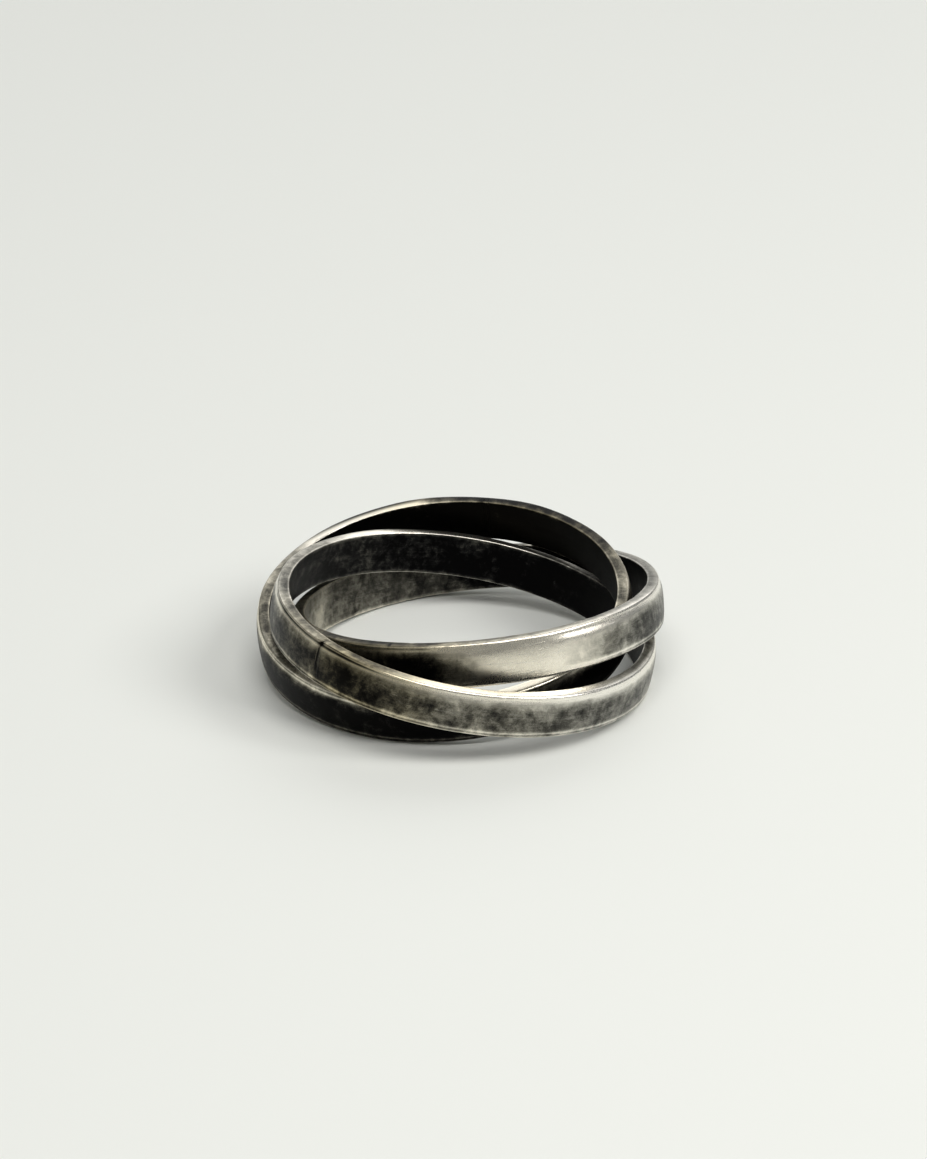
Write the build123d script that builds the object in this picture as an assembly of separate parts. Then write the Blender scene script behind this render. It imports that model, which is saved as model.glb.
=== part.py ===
"""Three-band puzzle ring: three closed silver bands, each linked through the other two.

Millimetres, +Z up. The bands lie loosely fanned on a flat surface at Z = 0, and the origin is
on that surface, under the middle of the whole ring.
"""
from build123d import *
import math
import os

# Band section: a flat inner face, flat rims and a softly domed outer face.
band_width = 2.5  # from rim to rim, along the band's own axis
band_thickness = 0.85  # from the inner face to the top of the dome
dome_height = 0.1  # how far the outer face bulges beyond its own edges
outer_edge_radius = 0.2  # worn edge between a rim and the outer face
inner_edge_radius = 0.08  # crisper edge between a rim and the inner face

# Outside diameter over the dome. The bands are hand-made, so two of them are a little off it.
band_diameter = 21.0
main_band_oversize = 0.5
upper_band_oversize = -0.2
outer_band_oversize = 0.0

# How the bands lie. Each rests on the lowest point of its rim and climbs to the opposite side.
climb_in_widths = 1.5  # height of a band's high side over its low side, in band widths
main_band_low_side = 1.0  # degrees round from +X to the point that rests on the surface
upper_band_low_side = 119.0
outer_band_low_side = 248.0

# Each band is also shifted sideways, about a quarter turn behind its low side, so that every
# two walls pass side by side, without touching, at both places where they cross.
main_band_shift_side = 272.9  # degrees round from +X
upper_band_shift_side = 42.7
outer_band_shift_side = 149.7
main_band_play = 0.53  # clear room beside the wall where its neighbour's rim passes it
upper_band_play = 0.39
outer_band_play = 0.3

# The soldered joint that closes each band, in degrees round the band from +X.
seam_width = 0.25
main_band_seam = 221.0
upper_band_seam = 40.0
outer_band_seam = 75.0

# Two rims pass each other this far round from the crossing, on the two bands whose low sides
# are closest together. The walls have to clear each other there, not only at the crossing.
low_sides = sorted((main_band_low_side, upper_band_low_side, outer_band_low_side))
turns_between = [(following - low) % 360 for low, following in zip(low_sides, low_sides[1:] + low_sides[:1])]
half_turn_between = math.radians(min(turns_between) / 2)
rims_pass_at = math.asin(1 / (climb_in_widths * math.sin(half_turn_between)))


def band_section(diameter):
    """Half section of a band, in the XZ plane, with the band's axis on Z."""
    outer = diameter / 2 - dome_height
    inner = diameter / 2 - band_thickness
    half = band_width / 2
    with BuildSketch(Plane.XZ) as section:
        with BuildLine():
            Line((outer, -half), (inner, -half))
            Line((inner, -half), (inner, half))
            Line((inner, half), (outer, half))
            ThreePointArc((outer, half), (outer + dome_height, 0), (outer, -half))
        make_face()
        corners = section.vertices().sort_by(Axis.X)
        fillet(corners[:2], inner_edge_radius)
        fillet(section.vertices().sort_by(Axis.X)[-2:], outer_edge_radius)
    return section.sketch


def closed_band(diameter, seam):
    """A strip bent round to a ring and the thin fill of solder that joins its two ends."""
    seam_angle = math.degrees(seam_width / (diameter / 2 - band_thickness / 2))
    section = band_section(diameter).rotate(Axis.Z, seam + seam_angle / 2)
    strip = revolve(section, Axis.Z, revolution_arc=360 - seam_angle)
    solder = revolve(section, Axis.Z, revolution_arc=-seam_angle)
    return strip, solder


def lean_angle(diameter):
    """How far a band leans away from lying flat."""
    return math.asin(climb_in_widths * band_width / diameter)


def sideways_shift(play, shift_side):
    """The shift of a band's centre from the middle of the three."""
    spacing = (band_thickness + play) / math.cos(rims_pass_at)
    return Vector(spacing / math.sqrt(3), 0, 0).rotate(Axis.Z, shift_side)


def laid_down(pieces, lean, low_side, shift):
    """Lean a band towards its low side, shift it sideways and rest it on the surface."""
    lean_axis = Axis((0, 0, 0), Vector(0, 1, 0).rotate(Axis.Z, low_side))
    leaned = [piece.rotate(lean_axis, math.degrees(lean)) for piece in pieces]
    lowest = min(piece.bounding_box().min.Z for piece in leaned)
    return [piece.translate(shift - Vector(0, 0, lowest)) for piece in leaned]


def band(name, diameter, seam, low_side, play, shift_side):
    """One closed band in its place, as its two nodes."""
    shift = sideways_shift(play, shift_side)
    strip, solder = laid_down(closed_band(diameter, seam), lean_angle(diameter), low_side, shift)
    return {name: strip, name + "_solder_joint": solder}


nodes = {
    **band("main_band", band_diameter + main_band_oversize, main_band_seam,
           main_band_low_side, main_band_play, main_band_shift_side),
    **band("upper_band", band_diameter + upper_band_oversize, upper_band_seam,
           upper_band_low_side, upper_band_play, upper_band_shift_side),
    **band("outer_band", band_diameter + outer_band_oversize, outer_band_seam,
           outer_band_low_side, outer_band_play, outer_band_shift_side),
}

# Put the origin under the middle of the whole ring.
overall = Compound(list(nodes.values())).bounding_box()
centring = Vector(-overall.center().X, -overall.center().Y, -overall.min.Z)

os.makedirs("parts", exist_ok=True)
for name, solid in nodes.items():
    export_step(solid.translate(centring), f"parts/{name}.step")
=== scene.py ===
"""Looks of the three-band puzzle ring: worn, oxidised silver bands on a pale surface.

Lengths here are in millimetres and turned into metres where they meet Blender.
"""
import math

import bpy
import numpy as np
from mathutils import Matrix, Vector


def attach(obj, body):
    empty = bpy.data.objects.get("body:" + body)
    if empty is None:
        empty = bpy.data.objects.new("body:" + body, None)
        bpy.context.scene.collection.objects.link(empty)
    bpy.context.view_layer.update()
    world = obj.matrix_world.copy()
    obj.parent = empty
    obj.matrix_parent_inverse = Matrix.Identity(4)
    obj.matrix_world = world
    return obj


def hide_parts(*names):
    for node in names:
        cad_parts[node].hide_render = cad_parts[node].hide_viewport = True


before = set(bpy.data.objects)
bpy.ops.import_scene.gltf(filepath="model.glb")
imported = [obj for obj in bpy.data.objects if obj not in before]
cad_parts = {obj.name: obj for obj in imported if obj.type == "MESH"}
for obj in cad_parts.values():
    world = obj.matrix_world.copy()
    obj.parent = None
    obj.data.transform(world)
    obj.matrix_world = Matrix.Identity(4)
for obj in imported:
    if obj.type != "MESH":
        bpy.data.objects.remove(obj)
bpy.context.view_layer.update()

MM = 0.001

# ---------------------------------------------------------------- camera and stage

CAMERA_TARGET = Vector((0.0, 0.0, 3.0))
CAMERA_DISTANCE = 300.0
CAMERA_ELEVATION = 24.4  # degrees above the surface
CAMERA_AZIMUTH = 0.0  # degrees; 0 looks along +Y
CAMERA_ROLL = -0.6  # degrees
CAMERA_SLIDE = (0.17, 2.49)  # to the right of, and above, the line to the target
CAMERA_CLIP = 10.0
SENSOR = 36.0
FRAME_HEIGHT_AT_TARGET = 64.25  # what the picture's height spans at the target's distance

FLOOR_SIZE = 4000.0
FLOOR_COLOUR = (0.83, 0.845, 0.815, 1)
SKY_COLOUR = (0.95, 0.97, 0.96, 1)
SKY_STRENGTH = 0.22

# Each light's name, place, size, power in watts and colour. All of them face LIGHT_TARGET.
LIGHTS = (
    ("window", (300, -120, 280), (200, 200), 0.90, (1.0, 0.99, 0.965)),
    ("overhead", (10, -130, 400), (320, 260), 0.80, (1.0, 0.985, 0.955)),
    ("back_panel", (20, 390, 270), (420, 330), 0.60, (1.0, 0.995, 0.975)),
)
LIGHT_TARGET = (0, 0, 3)


def add_camera():
    """The photograph's viewpoint."""
    elevation, azimuth, roll = (
        math.radians(angle) for angle in (CAMERA_ELEVATION, CAMERA_AZIMUTH, CAMERA_ROLL))
    forward = Vector((
        math.sin(azimuth) * math.cos(elevation),
        math.cos(azimuth) * math.cos(elevation),
        -math.sin(elevation)))
    level = forward.cross(Vector((0, 0, 1))).normalized()
    upright = level.cross(forward)
    right = level * math.cos(roll) + upright * math.sin(roll)
    up = upright * math.cos(roll) - level * math.sin(roll)
    place = CAMERA_TARGET - forward * CAMERA_DISTANCE
    place += right * CAMERA_SLIDE[0] + up * CAMERA_SLIDE[1]
    data = bpy.data.cameras.new("camera")
    data.sensor_fit = "VERTICAL"
    data.sensor_height = SENSOR
    data.lens = SENSOR * CAMERA_DISTANCE / FRAME_HEIGHT_AT_TARGET
    data.clip_start = CAMERA_CLIP * MM
    camera = bpy.data.objects.new("camera", data)
    axes = Matrix((right, up, -forward)).transposed().to_4x4()
    camera.matrix_world = Matrix.Translation(place * MM) @ axes
    bpy.context.scene.collection.objects.link(camera)
    bpy.context.scene.camera = camera


def add_area_light(name, place, size, power, colour):
    """A soft rectangular light."""
    data = bpy.data.lights.new(name, "AREA")
    data.shape = "RECTANGLE"
    data.size, data.size_y = size[0] * MM, size[1] * MM
    data.energy = power
    data.color = colour
    light = bpy.data.objects.new(name, data)
    light.location = Vector(place) * MM
    away = Vector(place) - Vector(LIGHT_TARGET)
    light.rotation_euler = away.to_track_quat("Z", "Y").to_euler()
    bpy.context.scene.collection.objects.link(light)


def add_stage():
    """A pale matt surface under soft studio light."""
    bpy.ops.mesh.primitive_plane_add(size=FLOOR_SIZE * MM, location=(0, 0, 0))
    floor = bpy.context.object
    floor.name = "floor"
    material = bpy.data.materials.new("pale_surface")
    material.use_nodes = True
    shader = material.node_tree.nodes["Principled BSDF"]
    shader.inputs["Base Color"].default_value = FLOOR_COLOUR
    shader.inputs["Roughness"].default_value = 0.75
    shader.inputs["Specular IOR Level"].default_value = 0.3
    floor.data.materials.append(material)

    world = bpy.data.worlds.new("studio")
    bpy.context.scene.world = world
    world.use_nodes = True
    background = world.node_tree.nodes["Background"]
    background.inputs["Color"].default_value = SKY_COLOUR
    background.inputs["Strength"].default_value = SKY_STRENGTH
    for light in LIGHTS:
        add_area_light(*light)
    bpy.context.scene.view_settings.view_transform = "Standard"


# ---------------------------------------------------------------- the bands' places, from the frame

def node_vertices(node):
    """The vertices of a CAD node, in millimetres."""
    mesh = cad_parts[node].data
    places = np.empty(len(mesh.vertices) * 3)
    mesh.vertices.foreach_get("co", places)
    return places.reshape(-1, 3) / MM


def face_directions(node):
    """The scatter of a node's face normals, weighted by area."""
    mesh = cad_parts[node].data
    normals = np.empty(len(mesh.polygons) * 3)
    mesh.polygons.foreach_get("normal", normals)
    areas = np.empty(len(mesh.polygons))
    mesh.polygons.foreach_get("area", areas)
    normals = normals.reshape(-1, 3)
    return (normals * areas[:, None]).T @ normals


class BandPlace:
    """Where one CAD band lies, and its sizes, measured on its two nodes."""

    def __init__(self, name):
        strip, solder = node_vertices(name), node_vertices(name + "_solder_joint")
        # The rims are the smallest faces, so the normals scatter least along the band's axis.
        self.axis = np.linalg.eigh(face_directions(name))[1][:, 0]
        self.axis *= np.sign(self.axis[2])
        self.east = np.array((1.0, 0.0, 0.0)) - self.axis[0] * self.axis
        self.east /= np.linalg.norm(self.east)
        self.north = np.cross(self.axis, self.east)
        both = np.concatenate((strip, solder))
        spans = [both @ direction for direction in (self.east, self.north, self.axis)]
        middle = [(span.max() + span.min()) / 2 for span in spans]
        self.centre = middle[0] * self.east + middle[1] * self.north + middle[2] * self.axis
        self.half_width = (spans[2].max() - spans[2].min()) / 2
        radii = np.hypot(spans[0] - middle[0], spans[1] - middle[1])
        self.outer, self.inner = radii.max(), radii.min()
        apart = solder - self.centre
        turns = np.arctan2(apart @ self.north, apart @ self.east)
        self.seam = math.atan2(np.sin(turns).mean(), np.cos(turns).mean())
        self.seam_half_angle = np.angle(np.exp(1j * (turns - self.seam))).max()

    def to_world(self, angle, radius, height):
        """Points in metres from angles round the band, radii and heights in millimetres."""
        across = np.cos(angle)[..., None] * self.east + np.sin(angle)[..., None] * self.north
        return (self.centre + radius[..., None] * across + height[..., None] * self.axis) * MM


# ---------------------------------------------------------------- the section of a band

DOME = 0.1  # how far the outer face bulges beyond its own edges
OUTER_EDGE = 0.2  # radius of the edges beside the outer face
INNER_EDGE = 0.08  # radius of the edges beside the inner face

# Number of mesh steps over each stretch of the section.
INNER_STEPS = 14
INNER_EDGE_STEPS = 4
RIM_STEPS = 9
OUTER_EDGE_STEPS = 9
OUTER_STEPS = 22


def quarter_turn(centre, size, start, steps):
    """Points of a clockwise quarter circle, without its first point."""
    turns = np.radians(start - 90 * np.arange(1, steps + 1) / steps)
    return np.stack((centre[0] + size * np.cos(turns), centre[1] + size * np.sin(turns)), 1)


def straight(start, end, steps):
    """Points along a line, without its first point."""
    share = np.arange(1, steps + 1)[:, None] / steps
    return np.array(start) + share * (np.array(end) - np.array(start))


def band_section(place):
    """The closed section, as radii and heights, from the middle of the inner face upwards."""
    inner, half = place.inner, place.half_width
    flank = half - OUTER_EDGE

    def dome(height):
        return place.outer - DOME * (height / half) ** 2

    shoulder = dome(flank) - OUTER_EDGE
    lip = inner + INNER_EDGE
    upper_half = [
        straight((inner, 0), (inner, half - INNER_EDGE), INNER_STEPS // 2),
        quarter_turn((lip, half - INNER_EDGE), INNER_EDGE, 180, INNER_EDGE_STEPS),
        straight((lip, half), (shoulder, half), RIM_STEPS),
        quarter_turn((shoulder, flank), OUTER_EDGE, 90, OUTER_EDGE_STEPS),
    ]
    heights = flank * (1 - np.arange(1, OUTER_STEPS // 2 + 1) / (OUTER_STEPS // 2))
    upper_half.append(np.stack((dome(heights), heights), 1))
    upper_half = np.concatenate(upper_half)
    lower_half = upper_half[-2::-1] * (1, -1)
    return np.concatenate((upper_half, lower_half, [(inner, 0)]))


def section_normals(section):
    """Outward directions at the section's points."""
    along = np.roll(section, -1, 0) - np.roll(section, 1, 0)
    normals = np.stack((-along[:, 1], along[:, 0]), 1)
    return normals / np.linalg.norm(normals, axis=1, keepdims=True)


# ---------------------------------------------------------------- wear in the shape

# Number of mesh steps round the strip, and over its solder.
STRIP_STEPS = 1000
SOLDER_STEPS = 6

# The rounded edges of a band, in the order in which the section passes them.
TOP_INNER, TOP_OUTER, BOTTOM_OUTER, BOTTOM_INNER = range(4)

# Unevenness of the whole surface: its mean depth, shortest wavelength and number of waves.
UNEVENNESS = ((0.012, 9.0, 30), (0.005, 2.5, 30), (0.0016, 0.7, 60))
UNEVENNESS_PEAK = 2.5  # highest value that an unevenness of unit size is taken to reach

# The outer edges are rubbed down, more in some places than in others.
EDGE_WEAR_REACH = 0.24
EDGE_WEAR_DEPTH = 0.04
EDGE_WEAR_WAVELENGTH = 5.0
EDGE_WEAR_WAVES = 30
EDGE_WEAR_CHANGE = 0.4
EDGE_WEAR_RANGE = (0.2, 1.8)

# Small dings in the edges, with the ranges of their half lengths, half widths and depths.
DINGS = 70
DING_LENGTHS = (0.06, 0.4)
DING_WIDTHS = (0.05, 0.14)
DING_DEPTHS = (0.004, 0.022)

EDGE_SHINE_REACH = 0.085  # how far from an edge the oxide is rubbed through
# Beside the outer edges the oxide is thinner, partly as wear and partly as a painted highlight: the
# broad light strip along the bottom of the outer face stands in for a highlight.
EDGE_POLISH_AND_HIGHLIGHT_REACH = 0.42  # how far from an outer edge the surface is lighter
EDGE_POLISH_AND_HIGHLIGHT = ((TOP_OUTER, 0.12), (BOTTOM_OUTER, 0.34))  # how much lighter: thinner oxide, with a painted highlight in the broad strip along the bottom edge


def uneven(rng, surface, wavelength, waves):
    """Gentle unevenness of about unit size, from waves that close up round the band."""
    around, across, length = surface.around, surface.across, surface.length
    total = np.zeros(np.broadcast(around, across).shape)
    most_turns = length / wavelength
    for _ in range(waves):
        turns = round(rng.uniform(-most_turns, most_turns))
        tilt = rng.uniform(-1, 1) * 2 * math.pi / wavelength
        total += np.cos(2 * math.pi * turns * around / length + tilt * across
                        + rng.uniform(0, 2 * math.pi))
    return total / math.sqrt(waves / 2)


def bump_at(surface, around, across, size):
    """A smooth bump, 1 in its middle, at a place on the unrolled band."""
    total = 0
    for lap in (-surface.length, 0, surface.length):
        apart = (surface.around - around - lap) / size[0], (surface.across - across) / size[1]
        total = total + np.exp(-(apart[0] ** 2 + apart[1] ** 2))
    return total


class BandSurface:
    """The worn surface of a band over a stretch of angles: places and wear at a grid of points."""

    def __init__(self, place, look, start, end, steps):
        self.place = place
        section = band_section(place)
        normals = section_normals(section)
        gaps = np.linalg.norm(np.diff(section, axis=0, prepend=section[-1:]), axis=1)

        # The grid: angles round the band, and millimetres round it from its seam and along its section.
        self.angle = np.linspace(start, end, steps + 1)[:, None]
        self.degrees = np.degrees(self.angle) % 360
        self.length = 2 * math.pi * place.outer
        self.around = (self.angle - place.seam) * place.outer
        self.across = np.cumsum(gaps)[None, :]

        # How much each point of the section belongs to each of the band's four faces.
        facing_out, facing_up = normals[:, 0], normals[:, 1]
        self.outside = np.clip(facing_out, 0, 1) ** 2
        self.inside = np.clip(-facing_out, 0, 1) ** 2
        self.top = np.clip(facing_up, 0, 1) ** 2
        self.bottom = np.clip(-facing_up, 0, 1) ** 2

        # The middles of the rounded edges, and how near each point is to them.
        roundness = facing_out ** 2 * facing_up ** 2
        peaks = np.flatnonzero(np.diff(np.sign(np.diff(roundness))) < 0) + 1
        self.edges = self.across[0, peaks]
        apart = self.across - self.edges[:, None]
        self.rounding = np.exp(-(apart[[TOP_OUTER, BOTTOM_OUTER]] / EDGE_WEAR_REACH) ** 2).sum(0)
        self.shine = np.exp(-(apart / EDGE_SHINE_REACH) ** 2).sum(0)

        self.look = look
        depth = look.depth(self)
        self.radius = section[:, 0] - depth * facing_out
        self.height = section[:, 1] - depth * facing_up

    def places(self):
        """The points in the frame, in metres."""
        angle = np.broadcast_to(self.angle, self.radius.shape)
        return self.place.to_world(angle, self.radius, self.height)

    def unrolled(self):
        """The points on the band cut at its seam and laid flat, in millimetres."""
        around = np.broadcast_to(self.around, self.radius.shape)
        return np.stack((around, self.height, self.radius - self.place.outer), -1)


def ring_profile(stops):
    """A smooth function of degrees round the band through (degrees, value) stops, from 0 degrees."""
    degrees, values = np.array((*stops, (360, stops[0][1])), float).T

    def value(angle):
        index = np.searchsorted(degrees[1:-1], angle, "right")
        low, high = degrees[index], degrees[index + 1]
        share = (angle - low) / (high - low)
        share = share * share * (3 - 2 * share)
        return values[index] + (values[index + 1] - values[index]) * share

    return value


class Mark:
    """A dent, scratch or stain: where it is round the band in degrees, how far past one of the edges
    along the section, its half length and half width, its depth, and the tarnish that it adds."""

    def __init__(self, degrees, edge, offset, size, deep=0.0, dark=0.0):
        self.degrees, self.edge, self.offset = degrees, edge, offset
        self.size, self.deep, self.dark = size, deep, dark

    def cover(self, surface):
        """How strongly the mark shows at each point, up to 1."""
        from_seam = math.radians(self.degrees) - surface.place.seam
        around = math.remainder(from_seam, 2 * math.pi) * surface.place.outer
        across = surface.edges[self.edge] + self.offset
        return bump_at(surface, around, across, self.size)


class Look:
    """How one band is worn and oxidised, with painted shade and painted highlights, by degrees round it
    from +X.
    """

    def __init__(self, seed, outside, inside, top, bottom, warm, marks=()):
        self.seed = seed
        self.tarnish_and_light_stops = [ring_profile(stops) for stops in (outside, inside, top, bottom)]
        self.warm = ring_profile(warm)
        self.marks = marks

    def depth(self, surface):
        """How far the worn surface lies under the CAD surface, in millimetres."""
        rng = np.random.default_rng(self.seed)
        depth = 0
        for mean_depth, wavelength, waves in UNEVENNESS:
            relief = uneven(rng, surface, wavelength, waves) / UNEVENNESS_PEAK
            depth = depth + mean_depth * (1 + relief)
        depth = np.maximum(depth, 0)
        change = EDGE_WEAR_CHANGE * uneven(rng, surface, EDGE_WEAR_WAVELENGTH, EDGE_WEAR_WAVES)
        rubbing = np.clip(1 + change, *EDGE_WEAR_RANGE)
        depth = depth + EDGE_WEAR_DEPTH * rubbing * surface.rounding
        for _ in range(DINGS):
            across = rng.choice(surface.edges)
            around = rng.uniform(-surface.length / 2, surface.length / 2)
            size = rng.uniform(*DING_LENGTHS), rng.uniform(*DING_WIDTHS)
            deep = rng.uniform(*DING_DEPTHS)
            depth = depth + deep * bump_at(surface, around, across, size)
        for mark in self.marks:
            depth = depth + mark.deep * mark.cover(surface)
        return depth

    def tarnish_and_painted_light(self, surface):
        """How thick the oxide is, with painted shade and painted highlights added: 0 is clean silver
        and 1 is black.
        """
        outside, inside, top, bottom = (stop(surface.degrees) for stop in self.tarnish_and_light_stops)
        level = (outside * surface.outside + inside * surface.inside
                 + top * surface.top + bottom * surface.bottom)
        # Lighter beside the outer edges: thinner oxide, and along the bottom edge a painted highlight.
        for edge, lightening in EDGE_POLISH_AND_HIGHLIGHT:
            beside = (surface.across - surface.edges[edge]) / EDGE_POLISH_AND_HIGHLIGHT_REACH
            level = level - lightening * np.exp(-beside ** 2)
        return level

    def stain(self, surface):
        """How much the marks darken the surface, after the edges have been rubbed."""
        return sum((mark.dark * mark.cover(surface) for mark in self.marks), np.zeros(1))


def closed_mesh(name, surface):
    """A closed mesh from a grid of points, with an end face at each end."""
    rows, columns = surface.radius.shape
    grid = np.arange(rows * columns).reshape(rows, columns)
    this, following = grid[:-1], grid[1:]
    quads = np.stack((this, following, np.roll(following, -1, 1), np.roll(this, -1, 1)), -1)
    faces = quads.reshape(-1, 4).tolist() + [grid[0].tolist(), grid[-1, ::-1].tolist()]
    mesh = bpy.data.meshes.new(name)
    mesh.from_pydata(surface.places().reshape(-1, 3).tolist(), [], faces)
    mesh.shade_smooth()
    for end in mesh.polygons[-2:]:
        end.use_smooth = False
    values = {
        # The tarnish level holds oxide together with painted shade and painted highlights.
        "tarnish_and_painted_light": surface.look.tarnish_and_painted_light(surface),
        "stain": surface.look.stain(surface),
        "wear": surface.shine,
        "warmth": surface.look.warm(surface.degrees),
    }
    for attribute, numbers in values.items():
        layer = mesh.attributes.new(attribute, "FLOAT", "POINT")
        layer.data.foreach_set("value", np.broadcast_to(numbers, (rows, columns)).ravel())
    layer = mesh.attributes.new("unrolled", "FLOAT_VECTOR", "POINT")
    layer.data.foreach_set("vector", surface.unrolled().ravel())
    piece = bpy.data.objects.new(name, mesh)
    bpy.context.scene.collection.objects.link(piece)
    return piece


# ---------------------------------------------------------------- materials

# Colours from clean silver, through grey oxide, to black.
OXIDE_COLOURS = (
    (0.00, (0.92, 0.90, 0.86)),
    (0.22, (0.60, 0.592, 0.56)),
    (0.45, (0.26, 0.257, 0.238)),
    (0.68, (0.080, 0.079, 0.073)),
    (0.88, (0.016, 0.016, 0.017)),
    (1.00, (0.004, 0.004, 0.0045)),
)
WARM_TINT = (1.0, 0.88, 0.60, 1)
SCRATCH_COLOUR = (0.74, 0.73, 0.70, 1)

# Fine scratches: the way they run in degrees, their noise's scale, and the noise where they begin.
SCRATCHES = ((7, 2.0, 0.62), (-18, 2.6, 0.65), (38, 2.2, 0.66), (-64, 2.4, 0.67))
SCRATCH_SHARPNESS = 9.0

BUMP_DISTANCE = 0.008
PATTERN_SHIFT = 7.3  # how far apart the bands' patterns are taken from the same noise


class Nodes:
    """Short ways to add and join shader nodes."""

    def __init__(self, material):
        material.use_nodes = True
        self.tree = material.node_tree
        self.shader = self.tree.nodes["Principled BSDF"]

    def add(self, kind, **settings):
        node = self.tree.nodes.new("ShaderNode" + kind)
        for setting, value in settings.items():
            setattr(node, setting, value)
        return node

    def put(self, socket, value):
        """Join a socket to an output, or set it to a number or colour."""
        if hasattr(value, "is_output"):
            self.tree.links.new(value, socket)
        else:
            socket.default_value = value

    def attribute(self, name, output="Fac"):
        return self.add("Attribute", attribute_name=name).outputs[output]

    def math(self, operation, *values, clamp=False):
        node = self.add("Math", operation=operation, use_clamp=clamp)
        for socket, value in zip(node.inputs, values):
            self.put(socket, value)
        return node.outputs[0]

    def stretch(self, vector, scale, turn):
        node = self.add("Mapping")
        self.put(node.inputs["Vector"], vector)
        node.inputs["Scale"].default_value = scale
        node.inputs["Rotation"].default_value = (0, 0, math.radians(turn))
        return node.outputs[0]

    def noise(self, vector, scale, detail, roughness, distortion=0.0):
        node = self.add("TexNoise")
        self.put(node.inputs["Vector"], vector)
        node.inputs["Scale"].default_value = scale
        node.inputs["Detail"].default_value = detail
        node.inputs["Roughness"].default_value = roughness
        node.inputs["Distortion"].default_value = distortion
        return node.outputs[0]

    def spread(self, value, amount):
        """A noise turned into a change of up to half the amount, either way."""
        return self.math("MULTIPLY", self.math("SUBTRACT", value, 0.5), amount)

    def ramp(self, value, stops):
        node = self.add("ValToRGB")
        self.put(node.inputs[0], value)
        elements = node.color_ramp.elements
        while len(elements) < len(stops):
            elements.new(0.5)
        for element, (position, colour) in zip(elements, stops):
            element.position = position
            element.color = (*colour, 1)
        return node.outputs[0]

    def mix(self, kind, factor, first, second):
        node = self.add("Mix", data_type="RGBA", blend_type=kind)
        self.put(node.inputs["Factor"], factor)
        self.put(node.inputs["A"], first)
        self.put(node.inputs["B"], second)
        return node.outputs["Result"]


def scratch_lines(nodes, flat):
    """Fine scratches in several directions: 1 in a scratch and 0 beside it."""
    scratches = 0.0
    for turn, scale, threshold in SCRATCHES:
        lines = nodes.noise(
            nodes.stretch(flat, scale=(0.35, 11, 11), turn=turn), scale=scale, detail=2, roughness=0.5)
        lines = nodes.math("SUBTRACT", lines, threshold)
        lines = nodes.math("MULTIPLY", lines, SCRATCH_SHARPNESS, clamp=True)
        scratches = nodes.math("MAXIMUM", scratches, lines)
    return scratches


def silver(name, shift):
    """Worn silver under patchy oxide: clean on edges and high spots, black where never rubbed, with the
    painted shade and painted highlights that the tarnish level carries.
    """
    material = bpy.data.materials.new(name)
    nodes = Nodes(material)
    shifted = nodes.add("VectorMath", operation="ADD")
    nodes.put(shifted.inputs[0], nodes.attribute("unrolled", "Vector"))
    shifted.inputs[1].default_value = (0, shift, shift)
    flat = shifted.outputs[0]

    blotches = nodes.noise(flat, scale=0.75, detail=5, roughness=0.6, distortion=0.6)
    patches = nodes.noise(flat, scale=2.5, detail=5, roughness=0.6, distortion=0.4)
    grain = nodes.noise(flat, scale=17, detail=3, roughness=0.6)
    along = nodes.stretch(flat, scale=(0.5, 7, 7), turn=4)
    streaks = nodes.noise(along, scale=1.6, detail=6, roughness=0.65)
    scratches = scratch_lines(nodes, flat)

    # The oxide lies in patches, is rubbed through along the edges, and is darkest in the marks.
    # The tarnish level also carries painted shade and painted highlights from the looks.
    tarnish_and_painted_light = nodes.attribute("tarnish_and_painted_light")
    mottling = nodes.spread(blotches, 1.0)
    for noise, amount in ((patches, 0.55), (grain, 0.36), (streaks, 0.22)):
        mottling = nodes.math("ADD", mottling, nodes.spread(noise, amount))
    patchiness = nodes.math("MULTIPLY_ADD", tarnish_and_painted_light, 1.1, 0.35, clamp=True)
    level = nodes.math("MULTIPLY_ADD", mottling, patchiness, tarnish_and_painted_light)
    rubbed = nodes.math("MULTIPLY", nodes.attribute("wear"), nodes.math("MULTIPLY", streaks, 0.95))
    level = nodes.math("MAXIMUM", nodes.math("SUBTRACT", level, rubbed), 0.0)
    level = nodes.math("ADD", level, nodes.attribute("stain"), clamp=True)

    oxide = nodes.ramp(level, OXIDE_COLOURS)
    tinted = nodes.mix("MULTIPLY", nodes.attribute("warmth"), oxide, WARM_TINT)
    # Scratches show on lighter oxide and fade out on black.
    bare = nodes.math("MULTIPLY", scratches, nodes.math("SUBTRACT", 0.8, level, clamp=True))
    colour = nodes.mix("MIX", nodes.math("MULTIPLY", bare, 0.55), tinted, SCRATCH_COLOUR)
    nodes.put(nodes.shader.inputs["Base Color"], colour)

    # Oxide is rougher than clean silver.
    roughness = nodes.math("MULTIPLY_ADD", level, 0.22, 0.28)
    roughness = nodes.math("ADD", roughness, nodes.spread(grain, 0.14))
    nodes.put(nodes.shader.inputs["Roughness"], roughness)
    nodes.shader.inputs["Metallic"].default_value = 1.0

    grain_relief = nodes.math("MULTIPLY", grain, 0.28)
    relief = nodes.math("ADD", grain_relief, nodes.math("MULTIPLY", streaks, 0.6))
    relief = nodes.math("SUBTRACT", relief, nodes.math("MULTIPLY", scratches, 0.8))
    bump = nodes.add("Bump")
    bump.inputs["Strength"].default_value = 0.35
    bump.inputs["Distance"].default_value = BUMP_DISTANCE * MM
    nodes.put(bump.inputs["Height"], relief)
    nodes.put(nodes.shader.inputs["Normal"], bump.outputs[0])
    return material
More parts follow.
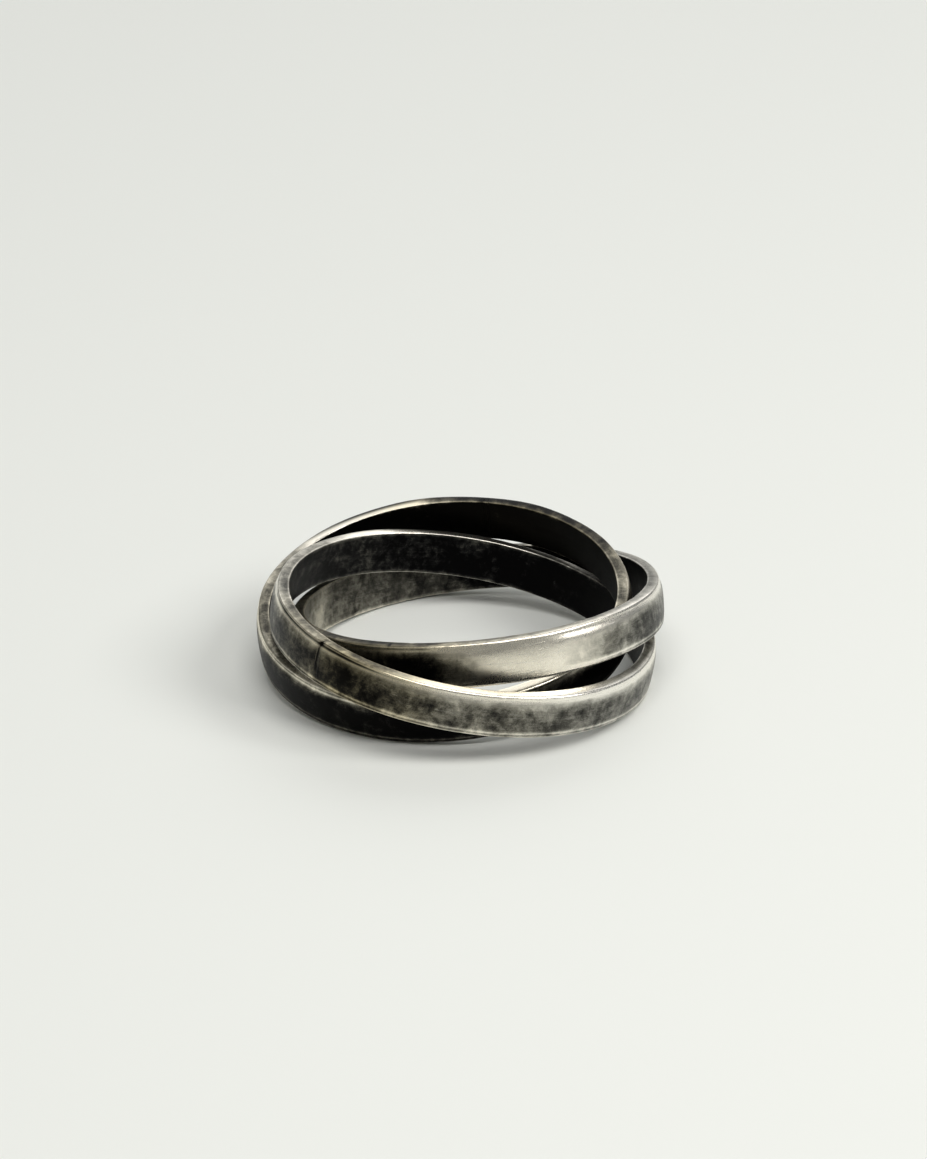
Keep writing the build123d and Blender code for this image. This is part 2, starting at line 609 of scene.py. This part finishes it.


# ---------------------------------------------------------------- the bands

# A stop is (degrees round the band from +X, level). The level is 0 on clean silver and 1 on black, and
# a level past either end lets less mottling show; some stops hold painted shade and painted highlights,
# marked below. Warmth is 0 on grey oxide and 1 on brown.
LOOKS = {
    "main_band": Look(
        seed=11,
        outside=((0, 0.60), (60, 0.62), (120, 0.60), (180, 0.78), (205, 0.82), (224, 0.84), (236, 0.88),
                 (250, 0.72), (264, 0.60), (285, 0.64), (310, 0.61), (335, 0.56)),
        inside=((0, 1.05), (60, 1.10), (85, 1.00), (110, 0.90), (150, 0.90), (175, 1.0), (300, 1.05)),
        top=((0, 0.60), (40, 0.75), (62, 0.45), (74, 0.05), (112, -0.05), (128, 0.10), (142, 0.50),
             (180, 0.62), (220, 0.68), (240, 0.72), (250, 0.42), (259, 0.0), (312, 0.0), (332, 0.35)),
        bottom=((0, 0.30), (180, 0.35)),
        warm=((0, 0.20), (180, 0.25), (214, 0.60), (232, 1.00), (250, 0.75), (268, 0.35), (320, 0.12)),
        marks=(
            Mark(221, TOP_OUTER, 0.02, (0.17, 0.18), deep=0.11, dark=1.0),
            Mark(221, TOP_OUTER, 0.75, (0.05, 0.60), deep=0.02, dark=0.6),
            Mark(221, TOP_OUTER, -0.28, (0.03, 0.30), deep=0.02, dark=0.5),
            Mark(203, TOP_OUTER, 0.06, (2.7, 0.085), deep=0.035, dark=0.9),
            Mark(231, TOP_OUTER, 0.08, (1.7, 0.10), deep=0.03, dark=0.95),
            Mark(228, TOP_OUTER, -0.10, (1.4, 0.04), deep=0.02, dark=0.6),
            Mark(241, TOP_OUTER, 0.16, (2.2, 0.04), deep=0.012, dark=0.45),
            Mark(230, TOP_OUTER, 0.75, (1.3, 0.45), dark=0.14),
            Mark(98, TOP_OUTER, -0.05, (6.5, 0.22), dark=0.5),
        ),
    ),
    "upper_band": Look(
        seed=23,
        # Painted highlight: the outside is left clean at 274–303 degrees, where a reflected highlight
        # sits on the front. Painted shade: it is near black at 225–254 degrees, where it lies behind
        # the main band in shade.
        outside=((0, 0.62), (90, 0.55), (180, 0.55), (225, 0.95), (254, 0.92), (263, 0.52), (274, 0.02),
                 (288, -0.22), (303, 0.18), (318, 0.50), (334, 0.66)),
        inside=((0, 1.10), (60, 1.05), (88, 0.92), (108, 0.72), (130, 0.64), (148, 0.60), (158, 0.36),
                (170, 0.56), (200, 0.95), (270, 1.05)),
        top=((0, 0.50), (90, 0.50), (180, 0.60), (240, 0.90), (270, 0.60), (300, 0.35), (330, 0.38)),
        bottom=((0, 0.45), (180, 0.40)),
        warm=((0, 0.15), (120, 0.30), (240, 0.90), (280, 0.38), (300, 0.30), (330, 0.15)),
        marks=(
            Mark(242, TOP_OUTER, -0.25, (0.10, 0.18), deep=0.04, dark=0.5),
            Mark(135, BOTTOM_INNER, 0.0, (0.14, 0.12), deep=0.05, dark=0.4),
        ),
    ),
    "outer_band": Look(
        seed=37,
        # Partly oxide and partly painted shade: the outside is blackest at 205–300 degrees, low at the
        # front where it faces the shadowed floor.
        outside=((0, 0.95), (90, 0.70), (150, 0.60), (178, 0.66), (192, 0.85), (205, 1.05), (250, 1.10),
                 (300, 1.05)),
        inside=((0, 1.20), (180, 1.15)),
        top=((0, 0.65), (30, 0.82), (75, 0.80), (90, 0.62), (102, 0.0), (134, -0.05), (150, 0.55),
             (180, 0.70), (250, 0.7), (272, 0.2), (300, 0.1), (325, 0.5)),
        bottom=((0, 0.60), (180, 0.50)),
        warm=((0, 0.50), (60, 0.90), (95, 0.60), (130, 0.25), (180, 0.50), (250, 0.40)),
        marks=(
            Mark(117, TOP_OUTER, -0.12, (4.3, 0.32), dark=0.95),
            Mark(62, TOP_OUTER, -0.16, (6.5, 0.30), dark=0.45),
        ),
    ),
}


def build_band(name, look, material):
    """The strip and its solder, in the places of their CAD nodes."""
    place = BandPlace(name)
    solder_start = place.seam - place.seam_half_angle
    solder_end = place.seam + place.seam_half_angle
    strip_surface = BandSurface(place, look, solder_end, solder_start + 2 * math.pi, STRIP_STEPS)
    solder_surface = BandSurface(place, look, solder_start, solder_end, SOLDER_STEPS)
    strip = closed_mesh(name + "_worn", strip_surface)
    solder = closed_mesh(name + "_solder_worn", solder_surface)
    for piece, node in ((strip, name), (solder, name + "_solder_joint")):
        piece.data.materials.append(material)
        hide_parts(node)
        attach(piece, name)


add_stage()
add_camera()
for number, (band, look) in enumerate(LOOKS.items()):
    build_band(band, look, silver(band + "_silver", PATTERN_SHIFT * number))
